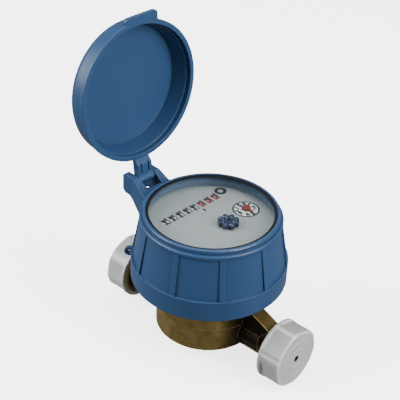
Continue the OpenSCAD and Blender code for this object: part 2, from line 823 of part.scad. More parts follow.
// The lobed wheel above the dial that turns at the least flow
module star_wheel() {
    color("midnightblue")
    on_head() translate([star_x, star_y, star_z])
    difference() {
        cylinder(d = star_d, h = star_t);
        for (i = [0:star_lobes - 1])
            rotate([0, 0, 360 * i / star_lobes]) translate([star_d / 2, 0, -cut])
                cylinder(r = star_notch, h = star_t + 2 * cut);
        translate([0, 0, star_t - star_cup]) cylinder(d = star_d / 3, h = star_cup + cut);
    }
}

// The small dial's arbor, with the wheel that the star wheel's pinion drives
module pointer_arbor() {
    color("goldenrod")
    on_head() translate([small_x, small_y, 0]) {
        translate([0, 0, frame_z - arbor_end])
            cylinder(r = arbor_r, h = pointer_z - frame_z + arbor_end);
        gear(small_teeth, small_module, upper_gear_z,
            atan2(star_y - small_y, star_x - small_x) + 180 / small_teeth);
    }
}

// The red pointer of the small dial: a notched hub and a tapered hand
module pointer() {
    color("firebrick")
    on_head() translate([small_x, small_y, pointer_z])
    linear_extrude(pointer_t) {
        difference() {
            circle(pointer_hub);
            for (i = [0:pointer_notches - 1])
                rotate(360 * (i + 0.5) / pointer_notches) translate([pointer_hub, 0])
                    circle(pointer_hub / 7, $fn = 24);
        }
        polygon([[0, -pointer_root], [pointer_r, -pointer_tip], [pointer_r, pointer_tip],
            [0, pointer_root]]);
    }
}

// The shaft on which the number rollers run
module roller_shaft() {
    color("silver")
    on_head()
    across(-roller_x, roller_z, roller_shaft_r, bank_y - shaft_reach, bank_y + shaft_reach);
}

// The thinner shaft below it, for the carry pinions
module carry_shaft() {
    color("silver")
    on_head()
    across(-carry_x, carry_z, carry_shaft_r, bank_y - shaft_reach, bank_y + shaft_reach);
}

// The pinion that carries from roller i + 1 to the slower roller i
module carry_pinion(i) {
    color("white")
    on_head()
    translate([-carry_x, roller_y + roller_pitch * (i - 0.5) - pinion_w / 2, carry_z])
    rotate([-90, 0, 0]) linear_extrude(pinion_w)
    difference() {
        polygon(tooth(pinion_teeth, pinion_size));
        circle(carry_shaft_r + run_gap, $fn = 32);
    }
}

// One number roller: a drum with a recess in one side and a small crown wheel on the other
module number_roller(i) {
    color(i > 5 ? "indianred" : "whitesmoke")
    on_head() translate([-roller_x, roller_y + roller_pitch * (i - 1) - drum_w / 2, roller_z])
    rotate([-90, 0, 0])
    difference() {
        union() {
            cylinder(r = roller_r, h = drum_w);
            linear_extrude(drum_w + crown_w) polygon(tooth(crown_teeth, crown_size));
        }
        translate([0, 0, -cut]) cylinder(r = roller_shaft_r + run_gap, h = roller_pitch + cut);
        translate([0, 0, -cut]) difference() {
            cylinder(r = roller_r - roller_wall, h = cut + recess);
            cylinder(r = roller_shaft_r + roller_wall, h = cut + recess);
        }
    }
}

// The dial with a window for each roller
module dial_plate() {
    color("gainsboro")
    on_head()
    difference() {
        translate([0, 0, dial_back]) cylinder(r = register_r, h = dial_t);
        for (i = [0:roller_count - 1])
            translate([-roller_x - window_h / 2, roller_y + roller_pitch * i - window_w / 2,
                dial_back - cut])
                cube([window_h, window_w, dial_t + 2 * cut]);
        for (place = [[star_x, star_y], [small_x, small_y]])
            translate([place[0], place[1], dial_back - cut])
                cylinder(r = arbor_r + run_gap, h = dial_t + 2 * cut);
        across(-roller_x, roller_z, roller_r + roller_gap, bank_y - bank_half,
            bank_y + bank_half);
    }
}

// The clear cover: a disc with a skirt that stands on the dial
module lens() {
    color("lightcyan", 0.4)
    on_head()
    rotate_extrude()
        polygon([[0, lens_top - lens_t], [register_r - lens_wall, lens_top - lens_t],
            [register_r - lens_wall, dial_z], [register_r, dial_z],
            [register_r, lens_top - lens_bevel], [register_r - lens_bevel, lens_top],
            [0, lens_top]]);
}

// The black ring between the lens and the hood's lip
module lens_gasket() {
    color("black")
    on_head()
    translate([0, 0, lens_top]) difference() {
        cylinder(r = register_r - seat_gap, h = gasket_t);
        translate([0, 0, -cut]) cylinder(r = register_r - gasket_w, h = gasket_t + 2 * cut);
    }
}

// The pin through the lid's barrel, pushed in from one ear to the blind end in the other
module hinge_pin() {
    color("slategray")
    on_head() translate([0, hinge_y, 0])
        across(-hinge_x, hinge_z, pin_d / 2, -ear_out + pin_skin + pin_in, ear_out - pin_in);
}

// Half section of the lid with its rim on z = 0, filled to the axis
module lid_outside() {
    square([lid_rim_r, lid_rim_h]);
    square([lid_r, lid_h - lid_fillet]);
    square([lid_r - lid_fillet, lid_h]);
    translate([lid_r - lid_fillet, lid_h - lid_fillet]) circle(lid_fillet);
}

// Half section of the lid's hollow: the bore over the hood's rim, a narrow ledge and a wall that
// slants in to the flat inside of the top
module lid_inside() {
    ledge_r = lid_bore_r - lid_ledge;
    ledge_h = rim_h + lid_gap;
    inner_h = lid_h - lid_top;
    polygon([[0, -cut], [lid_bore_r, -cut], [lid_bore_r, ledge_h], [ledge_r, ledge_h],
        [ledge_r - lid_draft, inner_h], [0, inner_h]]);
}

// The lid's arm, from its rim to the barrel round the hinge pin
module lid_arm() {
    groove_x = hinge_x - barrel_d / 2 - cut;
    translate([0, hinge_y, 0])
    difference() {
        union() {
            side_plate([[-lid_r + arm_lap, lid_z], [-lid_rim_r, lid_z], [-slot_end + cut, arm_low],
                [-hinge_x, hinge_z - barrel_d / 4], [-hinge_x, hinge_z + barrel_d / 2],
                [-lid_r + arm_lap, arm_high]], arm_w);
            across(-hinge_x, hinge_z, barrel_d / 2, -arm_w / 2, arm_w / 2);
        }
        across(-hinge_x, hinge_z, barrel_bore / 2, -slot_w, slot_w);
        for (side = [-1, 1])
            translate([-groove_x, side * arm_w / 4 - arm_groove_w / 2, arm_low - cut])
                cube([groove_x - lid_rim_r, arm_groove_w, cut + arm_groove_depth]);
    }
}

// The lifting tab at the lid's rim, opposite the hinge, with rounded corners
module lid_tab() {
    reach = lid_rim_r + tab_reach;
    translate([0, tab_y, 0])
    linear_extrude(tab_t) {
        translate([0, -tab_w / 2]) square([reach - tab_round, tab_w]);
        translate([0, -tab_w / 2 + tab_round]) square([reach, tab_w - 2 * tab_round]);
        for (side = [-1, 1])
            translate([reach - tab_round, side * (tab_w / 2 - tab_round)]) circle(tab_round, $fn = 32);
    }
}

// The lid with its lifting tab and arm
module lid() {
    color("steelblue")
    on_lid()
    difference() {
        union() {
            translate([0, 0, lid_z]) rotate_extrude() lid_outside();
            lid_arm();
            translate([0, 0, lid_z]) lid_tab();
        }
        translate([0, 0, lid_z]) rotate_extrude() lid_inside();
    }
}

body_casting();
inlet_strainer();
lower_pivot();
pressure_plate();
plate_seal();
locking_ring();
impeller();
drive_magnet();
inlet_cap();
outlet_cap();
hood();
capsule();
gear_frame();
follower_arbor();
follower_magnet();
star_arbor();
star_wheel();
pointer_arbor();
pointer();
roller_shaft();
carry_shaft();
for (i = [1:roller_count - 1])
    carry_pinion(i);
for (i = [1:roller_count])
    number_roller(i);
dial_plate();
lens();
lens_gasket();
hinge_pin();
lid();
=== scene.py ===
"""Finishes, printed marks, light and camera for the water meter."""
import math

import bmesh
import bpy
from mathutils import Matrix, Vector


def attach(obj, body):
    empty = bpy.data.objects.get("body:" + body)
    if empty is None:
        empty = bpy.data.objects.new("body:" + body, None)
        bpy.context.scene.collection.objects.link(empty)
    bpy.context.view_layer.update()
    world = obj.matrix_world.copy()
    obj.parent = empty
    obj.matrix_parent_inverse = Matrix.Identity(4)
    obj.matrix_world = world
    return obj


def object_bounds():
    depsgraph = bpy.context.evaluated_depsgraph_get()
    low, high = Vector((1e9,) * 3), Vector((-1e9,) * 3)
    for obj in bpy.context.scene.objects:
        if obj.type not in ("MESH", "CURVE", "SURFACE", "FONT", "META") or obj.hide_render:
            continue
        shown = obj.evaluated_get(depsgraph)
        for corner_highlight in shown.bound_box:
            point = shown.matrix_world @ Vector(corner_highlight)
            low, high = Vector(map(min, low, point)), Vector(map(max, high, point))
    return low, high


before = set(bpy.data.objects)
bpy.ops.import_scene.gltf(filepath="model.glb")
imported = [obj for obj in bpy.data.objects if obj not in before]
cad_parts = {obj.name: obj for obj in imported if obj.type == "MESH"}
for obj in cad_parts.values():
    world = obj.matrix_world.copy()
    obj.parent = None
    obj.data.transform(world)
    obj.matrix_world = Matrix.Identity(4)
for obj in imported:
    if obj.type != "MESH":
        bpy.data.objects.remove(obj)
cad_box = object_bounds()

# Lengths are in millimetres, and MM turns them into metres.
MM = 0.001
FULL_TURN = 2 * math.pi

# Pipe body and caps
PIPE_Z = 7.7
ARM_X = (21.0, 26.0)            # from the drum to the arms, where the arms' painted shade begins
ARM_TOP = (5.0, 8.5)            # above the pipe's axis, where the lit top of an arm begins, which the darkest painted shade leaves out
THREAD_X = 43.9
THREAD_PITCH = 1.814
THREAD_ROOT_R = 12.2
CAP_END_X = 56.6
CAP_EDGE_X = (55.3, 56.2)       # where the painted highlight on the edge of a cap's end begins, along and out
CAP_EDGE_R = (12.6, 13.8)
CAP_SIDE_R = (12.4, 13.2)       # from the end to the side, where the side's painted shade begins
# Painted highlights on the hexagon corners, beyond this radius
CAP_CORNER_R = 13.9
CAP_CORNER = 50 / 60            # place of a hexagon corner, in sixths of a turn
# Radius of the painted shadow in and round each vent hole
CAP_VENT_R = 1.7
CAP_RINGS = ((4.8, 1.0, 0.22), (9.4, 0.8, 0.16))    # radius, width and height

# Head
HEAD_TURN = math.radians(-4.3)
RIM_Z = (64.6, 65.4)            # where the polished rim begins
BRACKET_X = -40.0               # where the hinge bracket begins, which isn't polished
WEB_SPAN = (-49.8, -38.8, -6.15, 3.55)      # from and to in x, from and to in y
WEB_Z = 57.0                    # top of the web under the hinge
WEB_T = 0.6
WEB_HOLE = (-45.8, 0.45)
WEB_HOLE_R = 0.75
WEB_HOLE_EDGE = 0.15            # bevel round the hole

# Dial, small dial and number rollers
DIAL_Z = 59.6
FACE_LIFT, MARK_LIFT, FIGURE_LIFT = 0.02, 0.03, 0.04    # of print above the dial
RING_MARK = (-15.9, 22.2)
RING_MARK_R = (1.4, 3.1)
DECIMAL_MARK = ((-8.8, 4.1), (-7.4, 4.2), (-8.8, 5.1), (-10.3, 5.3), (-10.6, 4.3))
SMALL_DIAL = (3.7, 20.2)
SMALL_FACE_R = (1.2, 6.2)
SMALL_RING_R = (5.85, 6.75)
SMALL_FIGURE_R = 4.5
SMALL_FIGURE = (2.3, 0.30, 1.0)     # height, weight and width
ROLLER_FIGURE = (4.2, 0.50, 0.90)
FONT_HEIGHT = 0.70                  # of a figure, for a font of size 1
ROLLERS = 8
BLACK_ROLLERS = 5                   # the others are red
ROLLER_R = 4.8
ROLLER_PRINT_R = ROLLER_R + 0.02
ROLLER_DEPTH = 0.6                  # of a roller's top below the dial
ROLLER_X = -14.4
ROLLER_Y = -16.2
ROLLER_Z = DIAL_Z - ROLLER_DEPTH - ROLLER_R
ROLLER_PITCH = 4.7
READING = (1, 1, 1, 1, 1, 0, 0, 0)

# Star wheel
STAR_AXIS = (7.2, 4.4)
STAR_TOP = 62.3
STAR_R = 5.2
STAR_LOBES = 8
STAR_NOTCH = 1.156                  # radius of the notch between two lobes
PETAL_R = (2.0, 5.1)
PETAL_GAP = 0.25                    # from a petal to the notch beside it
PETAL_H = 0.6
PETAL_SINK = 0.02                   # into the wheel's top

# Camera
AZIMUTH, ELEVATION, ROLL = (math.radians(v) for v in (40.27, 33.86, 2.34))
AIM = (-7.50, 0.0, 68.57)
DISTANCE = 540.5
LENS, SENSOR = 102.03, 36.0


# Shader arithmetic

class Shade:
    """A value that changes over a surface. Python arithmetic on it adds Math nodes."""

    def __init__(self, finish, socket):
        self.finish = finish
        self.socket = socket

    def _math(self, operation, first, second):
        return self.finish.node("ShaderNodeMath", {"operation": operation}, {0: first, 1: second})

    def __add__(self, other):
        return self._math("ADD", self, other)

    def __radd__(self, other):
        return self._math("ADD", other, self)

    def __sub__(self, other):
        return self._math("SUBTRACT", self, other)

    def __rsub__(self, other):
        return self._math("SUBTRACT", other, self)

    def __mul__(self, other):
        return self._math("MULTIPLY", self, other)

    def __rmul__(self, other):
        return self._math("MULTIPLY", other, self)

    def __truediv__(self, other):
        return self._math("DIVIDE", self, other)

    def __rtruediv__(self, other):
        return self._math("DIVIDE", other, self)

    def __pow__(self, other):
        return self._math("POWER", self, other)

    def __gt__(self, other):
        return self._math("GREATER_THAN", self, other)

    def __lt__(self, other):
        return self._math("LESS_THAN", self, other)

    def __abs__(self):
        return self._math("ABSOLUTE", self, 0.0)

    def __mod__(self, other):
        return self._math("FLOORED_MODULO", self, other)


class Finish:
    """One material: a Principled shader and the nodes that feed it."""

    def __init__(self, name):
        self.material = bpy.data.materials.new(name)
        self.material.use_nodes = True
        self.tree = self.material.node_tree
        self.tree.nodes.clear()
        self.output = self.tree.nodes.new("ShaderNodeOutputMaterial")
        self.shader = self.tree.nodes.new("ShaderNodeBsdfPrincipled")
        self.surface(Shade(self, self.shader.outputs[0]))

    def surface(self, shade):
        """Makes a shader the finish's surface."""
        self.put(self.output.inputs["Surface"], shade)

    def put(self, socket, value):
        """Links a Shade to a socket, or sets a number or colour on it."""
        if isinstance(value, Shade):
            self.tree.links.new(value.socket, socket)
        elif isinstance(value, tuple) and socket.type == "RGBA":
            socket.default_value = (*value, 1.0)
        else:
            socket.default_value = value

    def node(self, kind, settings=None, inputs=None, out=0):
        """Adds a node with its settings first, then its inputs, and returns one of its outputs."""
        made = self.tree.nodes.new(kind)
        for key, value in (settings or {}).items():
            setattr(made, key, value)
        for key, value in (inputs or {}).items():
            self.put(made.inputs[key], value)
        return Shade(self, made.outputs[out])

    def set(self, **values):
        """Sets or links the shader's own sockets, with _ for a space in their names."""
        for key, value in values.items():
            self.put(self.shader.inputs[key.replace("_", " ")], value)
        return self

    def place(self):
        """The point of the surface, in the part's frame."""
        return self.node("ShaderNodeTexCoord", out="Object")

    def axis(self, letter):
        """One coordinate of the point."""
        return self.node("ShaderNodeSeparateXYZ", inputs={0: self.place()}, out=letter)

    def normal(self):
        """The direction that the surface faces."""
        return self.node("ShaderNodeNewGeometry", out="Normal")

    def facing_up(self):
        """1 where the surface faces up, 0 where it is upright, -1 where it faces down."""
        return self.node("ShaderNodeSeparateXYZ", inputs={0: self.normal()}, out="Z")

    def round_pipe(self):
        """Place along the pipe, height above its axis, distance from the axis and angle round it."""
        x, y, z = self.axis("X"), self.axis("Y"), self.axis("Z") - PIPE_Z * MM
        reach = self.node("ShaderNodeMath", {"operation": "SQRT"}, {0: y * y + z * z})
        angle = self.node("ShaderNodeMath", {"operation": "ARCTAN2"}, {0: y, 1: z})
        return x, z, reach, angle

    def noise(self, scale, detail=2.0, roughness=0.5):
        """Soft noise between 0 and 1, finer for a larger scale."""
        return self.node("ShaderNodeTexNoise", inputs={
            "Vector": self.place(), "Scale": scale, "Detail": detail, "Roughness": roughness}, out="Fac")

    def mix(self, amount, first, second):
        """A colour between two colours."""
        return self.node("ShaderNodeMix", {"data_type": "RGBA", "clamp_factor": True},
                         {0: amount, 6: first, 7: second}, out=2)

    def span(self, value, low, high):
        """0 below low, 1 above high, straight between."""
        return self.node("ShaderNodeMapRange", {"clamp": True}, {"Value": value, 1: low, 2: high})

    def span_mm(self, value, limits):
        """The same for a length, with both limits in millimetres."""
        return self.span(value, limits[0] * MM, limits[1] * MM)

    def soft_edges(self, radius):
        """The normal with edges rounded by a radius."""
        return self.node("ShaderNodeBevel", {"samples": 6}, {"Radius": radius * MM})

    def edge_wear(self, rounded):
        """1 on the rounding of an edge, 0 on flats."""
        along = self.node("ShaderNodeVectorMath", {"operation": "DOT_PRODUCT"},
                          {0: rounded, 1: self.normal()}, out="Value")
        return self.span(1.0 - along, 0.02, 0.3)

    def shelter(self, distance, low, high):
        """1 deep in a crease of the piece itself, 0 in the open."""
        open_air = self.node("ShaderNodeAmbientOcclusion", {"samples": 8, "only_local": True},
                             {"Distance": distance * MM}, out="AO")
        return 1.0 - self.span(open_air, low, high)

    def bump(self, height, depth, normal=None, strength=1.0):
        """A normal with fine relief on it."""
        inputs = {"Height": height, "Distance": depth * MM, "Strength": strength}
        if normal is not None:
            inputs["Normal"] = normal
        return self.node("ShaderNodeBump", inputs=inputs)


# Finishes

def blue_moulding():
    """Semi-gloss blue plastic with a fine tool texture, paler on edges for wear and a painted highlight,
    with painted shade in creases.
    """
    f = Finish("blue_moulding")
    cloud = f.noise(45.0, 4.0)
    grain = f.noise(2600.0, 2.0)
    scuff = f.span(f.noise(330.0, 6.0, 0.7), 0.56, 0.78)
    rounded = f.soft_edges(0.45)
    wear_and_highlight = f.edge_wear(rounded)
    crease_shade = f.shelter(1.6, 0.4, 0.9)
    rim = f.span_mm(f.axis("Z"), RIM_Z) * (f.axis("X") > BRACKET_X * MM)
    blue = f.mix(cloud, (0.0140, 0.0420, 0.1020), (0.0180, 0.0500, 0.1180))
    # Wear and a painted highlight make the edges paler, and painted shade darkens the creases.
    blue = f.mix(wear_and_highlight * (1.0 - crease_shade) * 0.7, blue, (0.050, 0.140, 0.280))
    blue = f.mix(crease_shade * 0.6, blue, (0.004, 0.013, 0.034))
    return f.set(Base_Color=blue, Roughness=0.36 + 0.08 * grain + 0.08 * scuff, IOR=1.5,
                 Specular_IOR_Level=0.25, Coat_Weight=0.3 * rim * (1.0 - scuff), Coat_Roughness=0.07,
                 Normal=f.bump(grain, 0.02, rounded, 0.35)).material


def cast_brass():
    """Tumbled sand casting with painted shade in recesses and on its arms, wear and a painted highlight on
    edges, and cut thread turns at the pipe ends with painted shade in their roots.
    """
    f = Finish("cast_brass")
    cloud = f.span(f.noise(170.0, 7.0, 0.7), 0.32, 0.68)
    sand = f.noise(900.0, 4.0, 0.6)
    pits = f.span(f.noise(420.0, 3.0), 0.62, 0.78)
    rounded = f.soft_edges(0.7)
    wear_and_highlight = f.edge_wear(f.soft_edges(1.3))
    crevice_shade = f.shelter(2.2, 0.45, 0.9)
    dirt_and_shade = f.shelter(16.0, 0.25, 0.85)
    x, height, reach, angle = f.round_pipe()
    turn = abs((x / (THREAD_PITCH * MM) + angle / FULL_TURN) % 1.0 - 0.5) * 2.0
    thread = (abs(x) > THREAD_X * MM) * (reach > THREAD_ROOT_R * MM)
    arm = f.span_mm(abs(x), ARM_X)
    lit_arm_top = f.span(f.facing_up(), 0.1, 0.5) * f.span_mm(height, ARM_TOP)
    bronze = f.mix(cloud, (0.150, 0.104, 0.031), (0.300, 0.214, 0.072))
    bronze = f.mix(pits * 0.5, bronze, (0.070, 0.046, 0.020))
    # Painted shade deep in recesses and in small creases, such as under the drum's step.
    bronze = f.mix(dirt_and_shade * 0.95, bronze, (0.014, 0.009, 0.004))
    bronze = f.mix(crevice_shade * 0.9, bronze, (0.012, 0.008, 0.004))
    # Painted shade on the arms, darkest on their sides and undersides, lighter on the lit top.
    bronze = f.mix(arm * 0.75, bronze, (0.050, 0.034, 0.012))
    bronze = f.mix(arm * (1.0 - lit_arm_top) * 0.9, bronze, (0.006, 0.004, 0.002))
    # Wear and a painted highlight make the edges pale.
    bronze = f.mix(wear_and_highlight * (1.0 - crevice_shade) * 0.9, bronze, (0.640, 0.490, 0.220))
    # Bright cut metal on the thread, with painted shade in its roots.
    cut_face_and_root_shade = f.mix(f.span(turn, 0.0, 0.45), (0.090, 0.062, 0.024), (0.520, 0.400, 0.180))
    bronze = f.mix(thread, bronze, cut_face_and_root_shade)
    relief = (1.0 - thread) * (sand * 0.12 + cloud * 0.12 - pits * 0.10) + thread * turn * 0.6
    return f.set(Base_Color=bronze, Metallic=0.9, Roughness=0.40 + 0.16 * sand + 0.2 * dirt_and_shade,
                 Normal=f.bump(relief, 1.0, rounded, 0.7)).material


def milky_plastic():
    """Half clear grey-white plastic of the screw caps, with wear and painted highlights on edges, painted
    highlights on corners and end edge, painted shade on the outlet cap's side and a painted shadow in each
    vent hole.
    """
    f = Finish("milky_plastic")
    cloud = f.noise(90.0, 4.0)
    grain = f.noise(2200.0, 2.0)
    rounded = f.soft_edges(0.6)
    wear_and_highlight = f.edge_wear(f.soft_edges(1.8))
    x, _, reach, angle = f.round_pipe()
    side = 2.0 * (x > 0.0) - 1.0
    sixths = side * angle / (FULL_TURN / 6)
    corner_highlight = 1.0 - f.span(abs((sixths - CAP_CORNER + 0.5) % 1.0 - 0.5), 0.03, 0.09)
    corner_highlight = corner_highlight * (reach > CAP_CORNER_R * MM)
    end_edge_highlight = f.span_mm(abs(x), CAP_EDGE_X) * f.span_mm(reach, CAP_EDGE_R)
    side_shade = (x > 0.0) * f.span_mm(reach, CAP_SIDE_R) * f.span(f.facing_up(), -0.6, 0.3)
    white = f.mix(cloud, (0.300, 0.322, 0.310), (0.360, 0.380, 0.368))
    # Painted shade on the outlet cap's side, strongest where it faces up.
    white = f.mix(side_shade * 0.6, white, (0.160, 0.174, 0.164))
    # Wear and painted highlights on edges, and painted highlights on the hexagon corners and the end's
    # edge.
    white = f.mix(wear_and_highlight * 0.9, white, (0.620, 0.640, 0.625))
    white = f.mix(corner_highlight * 0.6 + end_edge_highlight * 0.5, white, (0.560, 0.580, 0.566))
    # Painted shadow in and round the vent hole.
    white = f.mix(reach < CAP_VENT_R * MM, white, (0.012, 0.012, 0.012))
    return f.set(Base_Color=white, Roughness=0.42 + 0.1 * grain, Subsurface_Weight=0.25,
                 Subsurface_Radius=(0.003, 0.003, 0.003), Subsurface_Scale=0.4,
                 Normal=f.bump(grain, 0.02, rounded, 0.3)).material


def printed_dial():
    """Matt pale grey dial with a fine speckle."""
    f = Finish("printed_dial")
    speckle = f.noise(3800.0, 2.0)
    cloud = f.noise(70.0, 3.0)
    grey = f.mix(speckle, (0.215, 0.223, 0.214), (0.272, 0.280, 0.268))
    grey = f.mix(cloud * 0.25, grey, (0.210, 0.220, 0.216))
    return f.set(Base_Color=grey, Roughness=0.55 + 0.1 * speckle,
                 Normal=f.bump(speckle, 0.01, None, 0.3)).material


def printed_white(name, low, high):
    """Matt white with a fine speckle."""
    f = Finish(name)
    speckle = f.noise(2600.0, 2.0)
    return f.set(Base_Color=f.mix(speckle, low, high), Roughness=0.5 + 0.1 * speckle).material


def ink(name, colour, thin):
    """Printing ink that is a little uneven over its area."""
    f = Finish(name)
    cover = f.span(f.noise(2400.0, 3.0), 0.5, 0.8)
    return f.set(Base_Color=f.mix(cover * 0.35, colour, thin), Roughness=0.5 + 0.15 * cover).material


def star_blue():
    """Glossy dark blue plastic of the star wheel, with a painted highlight on its edges."""
    f = Finish("star_blue")
    grain = f.noise(1800.0, 2.0)
    rounded = f.soft_edges(0.25)
    blue = f.mix(grain, (0.011, 0.016, 0.040), (0.017, 0.025, 0.058))
    # Painted highlight on the edges.
    blue = f.mix(f.edge_wear(rounded) * 0.5, blue, (0.050, 0.070, 0.135))
    return f.set(Base_Color=blue, Roughness=0.3 + 0.1 * grain,
                 Normal=f.bump(grain, 0.01, rounded, 0.2)).material


def pointer_red():
    """Red plastic of the small pointer."""
    f = Finish("pointer_red")
    grain = f.noise(2000.0, 2.0)
    red = f.mix(grain, (0.120, 0.013, 0.012), (0.170, 0.022, 0.019))
    return f.set(Base_Color=red, Roughness=0.4 + 0.1 * grain,
                 Normal=f.bump(grain, 0.01, f.soft_edges(0.15), 0.2)).material


def clear_lens():
    """Polished clear plastic with a reflection that grows towards grazing, and a tinted skirt."""
    f = Finish("clear_lens")
    f.tree.nodes.remove(f.shader)
    smear = f.noise(120.0, 3.0)
    graze = f.node("ShaderNodeLayerWeight", inputs={"Blend": 0.5}, out="Facing")
    through = f.node("ShaderNodeBsdfTransparent", inputs={"Color": (0.93, 0.955, 0.965)})
    shine = f.node("ShaderNodeBsdfGlossy", inputs={"Roughness": 0.04})
    clear = f.node("ShaderNodeMixShader", inputs={
        0: 0.005 + 0.007 * smear + 0.14 * graze ** 5.0, 1: through, 2: shine})
    tint = f.node("ShaderNodeBsdfDiffuse", inputs={"Color": (0.20, 0.25, 0.32)})
    skirt = 1.0 - f.span(abs(f.facing_up()), 0.2, 0.6)
    f.surface(f.node("ShaderNodeMixShader", inputs={0: 0.26 * skirt, 1: clear, 2: tint}))
    return f.material


def black_rubber():
    """Dull black rubber of the two seals."""
    f = Finish("black_rubber")
    grain = f.noise(1500.0, 3.0)
    return f.set(Base_Color=f.mix(grain, (0.003, 0.003, 0.003), (0.008, 0.008, 0.009)),
                 Specular_IOR_Level=0.15, Roughness=0.5 + 0.2 * grain).material


def bare_metal(name, scale, detail, low, high, roughness):
    """Drawn or turned metal with fine uneven shine."""
    f = Finish(name)
    drawn = f.noise(scale, detail)
    return f.set(Base_Color=f.mix(drawn, low, high), Metallic=1.0,
                 Roughness=roughness + 0.15 * drawn).material


def inner_moulding(name, low, high):
    """Plain moulded plastic of the parts inside."""
    f = Finish(name)
    grain = f.noise(800.0, 3.0)
    return f.set(Base_Color=f.mix(grain, low, high), Roughness=0.45 + 0.15 * grain,
                 Normal=f.bump(grain, 0.03, f.soft_edges(0.2), 0.3)).material


def sintered_magnet():
    """Dark gritty magnet."""
    f = Finish("sintered_magnet")
    grit = f.noise(1400.0, 5.0, 0.7)
    return f.set(Base_Color=f.mix(grit, (0.020, 0.020, 0.022), (0.055, 0.055, 0.058)),
                 Roughness=0.5 + 0.2 * grit).material


BLUE = blue_moulding()
MILKY = milky_plastic()
STAR = star_blue()
ROLLER_WHITE = printed_white("roller_white", (0.440, 0.440, 0.424), (0.500, 0.500, 0.484))
SMALL_WHITE = printed_white("small_dial_white", (0.540, 0.540, 0.522), (0.600, 0.600, 0.582))
BLACK_INK = ink("black_ink", (0.012, 0.012, 0.013), (0.060, 0.060, 0.062))
RED_INK = ink("red_ink", (0.150, 0.016, 0.014), (0.230, 0.060, 0.050))
STEEL = bare_metal("pin_steel", 700.0, 4.0, (0.42, 0.43, 0.44), (0.60, 0.61, 0.62), 0.25)
TURNED_BRASS = bare_metal("machined_brass", 1200.0, 3.0, (0.50, 0.36, 0.14), (0.62, 0.47, 0.21), 0.28)
PALE = inner_moulding("pale_moulding", (0.60, 0.59, 0.54), (0.70, 0.69, 0.64))
DARK = inner_moulding("dark_moulding", (0.030, 0.034, 0.038), (0.060, 0.066, 0.072))

WEARS = [
    (BLUE, ["hood", "lid"]),
    (cast_brass(), ["body_casting"]),
    (MILKY, ["inlet_cap", "outlet_cap"]),
    (printed_dial(), ["dial_plate"]),
    (ROLLER_WHITE, ["number_roller_%d" % i for i in range(1, ROLLERS + 1)]),
    (STAR, ["star_wheel"]),
    (pointer_red(), ["pointer"]),
    (clear_lens(), ["lens"]),
    (black_rubber(), ["lens_gasket", "plate_seal"]),
    (STEEL, ["hinge_pin", "lower_pivot", "roller_shaft", "carry_shaft"]),
    (TURNED_BRASS, ["locking_ring"]),
    (sintered_magnet(), ["drive_magnet", "follower_magnet"]),
    (DARK, ["pressure_plate", "capsule"]),
    (PALE, ["inlet_strainer", "impeller", "gear_frame", "follower_arbor", "star_arbor", "pointer_arbor"]),
    (PALE, ["carry_pinion_%d" % i for i in range(1, ROLLERS)]),
]
for finish, names in WEARS:
    for name in names:
        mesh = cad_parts[name].data
        mesh.materials.clear()
        mesh.materials.append(finish)


# Printed marks and small forms

def on_head(x, y, z):
    """A point of the head, given before the head is turned, in the part's frame."""
    c, s = math.cos(HEAD_TURN), math.sin(HEAD_TURN)
    return Vector((c * x - s * y, s * x + c * y, z)) * MM


def add_piece(name, bm, finish, body):
    """Makes a mesh into a piece that moves with a body."""
    mesh = bpy.data.meshes.new(name)
    bm.to_mesh(mesh)
    bm.free()
    mesh.materials.append(finish)
    piece = bpy.data.objects.new(name, mesh)
    bpy.context.scene.collection.objects.link(piece)
    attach(piece, body)


def join_rows(bm, rows, loop=True, tube=False, smooth=True):
    """Faces between rows of points. loop joins the last row to the first, tube the ends of each row."""
    for a, b in zip(rows, rows[1:] + rows[:1] if loop else rows[1:]):
        for k in range(len(a) if tube else len(a) - 1):
            n = (k + 1) % len(a)
            bm.faces.new([a[k], a[n], b[n], b[k]]).smooth = smooth


def figure(bm, character, size, spot):
    """Adds a printed figure as a flat mesh. spot turns a point (across, up) into a place."""
    height, weight, width = size
    curve = bpy.data.curves.new("figure", "FONT")
    curve.body = character
    curve.size = height / FONT_HEIGHT
    curve.offset = weight
    curve.align_x = "CENTER"
    holder = bpy.data.objects.new("figure", curve)
    bpy.context.scene.collection.objects.link(holder)
    flat = bpy.data.meshes.new_from_object(holder.evaluated_get(bpy.context.evaluated_depsgraph_get()))
    bpy.data.objects.remove(holder)
    bpy.data.curves.remove(curve)
    part = bmesh.new()
    part.from_mesh(flat)
    bpy.data.meshes.remove(flat)
    steps = 8
    for i in range(1, steps):
        bmesh.ops.bisect_plane(part, geom=part.verts[:] + part.edges[:] + part.faces[:],
                               plane_co=(0, height * i / steps, 0), plane_no=(0, 1, 0))
    made = {v: bm.verts.new(spot(v.co.x * width, v.co.y - height / 2)) for v in part.verts}
    for face in part.faces:
        bm.faces.new([made[v] for v in face.verts])
    part.free()


def dial_spot(cx, cy):
    """Places print on the dial so that a reader at the front of the register, at +X, sees it upright."""
    return lambda across, up: on_head(cx - up, cy + across, DIAL_Z + FIGURE_LIFT)


def roller_spot(middle, turn):
    """Wraps print round a roller, on top for a turn of 0."""
    def spot(across, up):
        angle = up / ROLLER_R + turn
        return on_head(ROLLER_X - ROLLER_PRINT_R * math.sin(angle), middle + across,
                       ROLLER_Z + ROLLER_PRINT_R * math.cos(angle))
    return spot


def ring(bm, centre, radii, lift):
    """A flat printed ring on the dial."""
    cx, cy = centre
    count = 72
    rows = []
    for i in range(count):
        a = FULL_TURN * i / count
        rows.append([bm.verts.new(on_head(cx + r * math.cos(a), cy + r * math.sin(a), DIAL_Z + lift))
                     for r in radii])
    join_rows(bm, rows, smooth=False)


